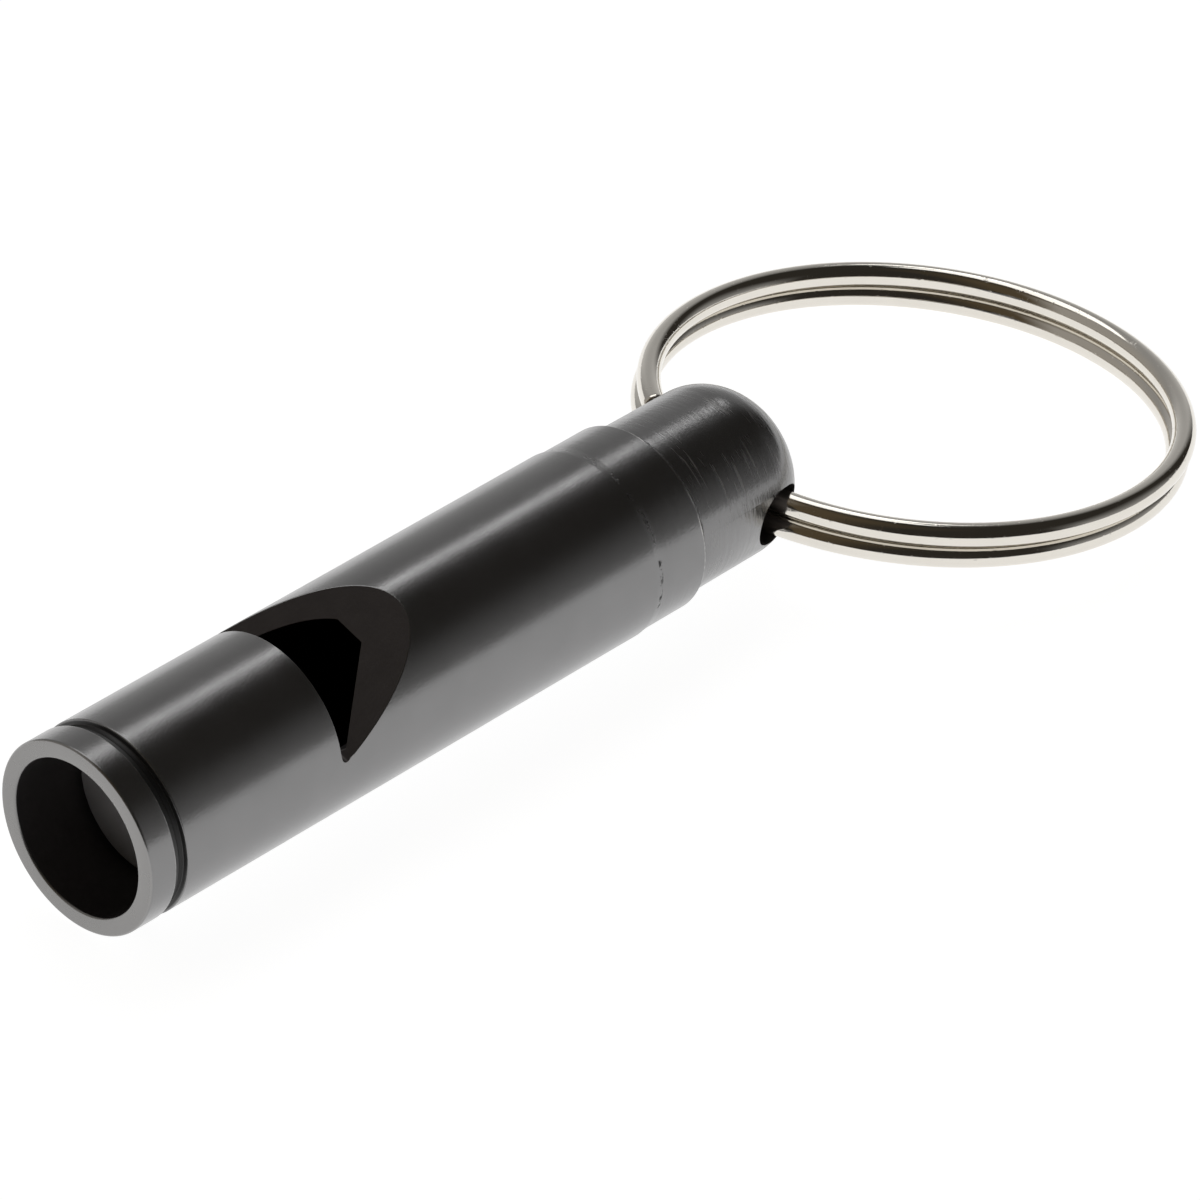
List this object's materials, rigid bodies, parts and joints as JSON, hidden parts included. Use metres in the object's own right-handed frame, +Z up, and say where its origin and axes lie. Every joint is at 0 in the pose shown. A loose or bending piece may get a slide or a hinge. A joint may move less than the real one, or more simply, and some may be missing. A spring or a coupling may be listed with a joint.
{
  "type": "signal whistle with split ring",
  "caption": "Turned aluminium pocket whistle with a pressed-in windway plug, a ramped window and a split ring that swings through a cross hole in its domed tail.",
  "frame": {"origin": "middle of the footprint of whistle and ring together, on the surface that the whistle lies on", "axes": "+X along the whistle from its mouth to its tail, +Z up from the surface, the window leaning 18.7 degrees from +Z towards -Y"},
  "size_m": [0.0636, 0.0256, 0.009],
  "materials": {
    "anodised_aluminium": "black anodised over fine turning marks, semi-gloss",
    "black_plastic": "moulded black plastic, matte",
    "nickel_plated_steel": "bright nickel plate on drawn steel wire"
  },
  "bodies": {
    "whistle": {"whistle_body": "anodised_aluminium", "windway_plug": "black_plastic"},
    "ring": {"split_ring": "nickel_plated_steel"}
  },
  "joints": [
    {"name": "ring_swing", "type": "hinge", "parent": "whistle", "child": "ring", "pos_m": [0.00753, 0.00095, 0.00374], "axis": [0, -1, 0], "range_deg": [0, 170.5]}
  ]
}
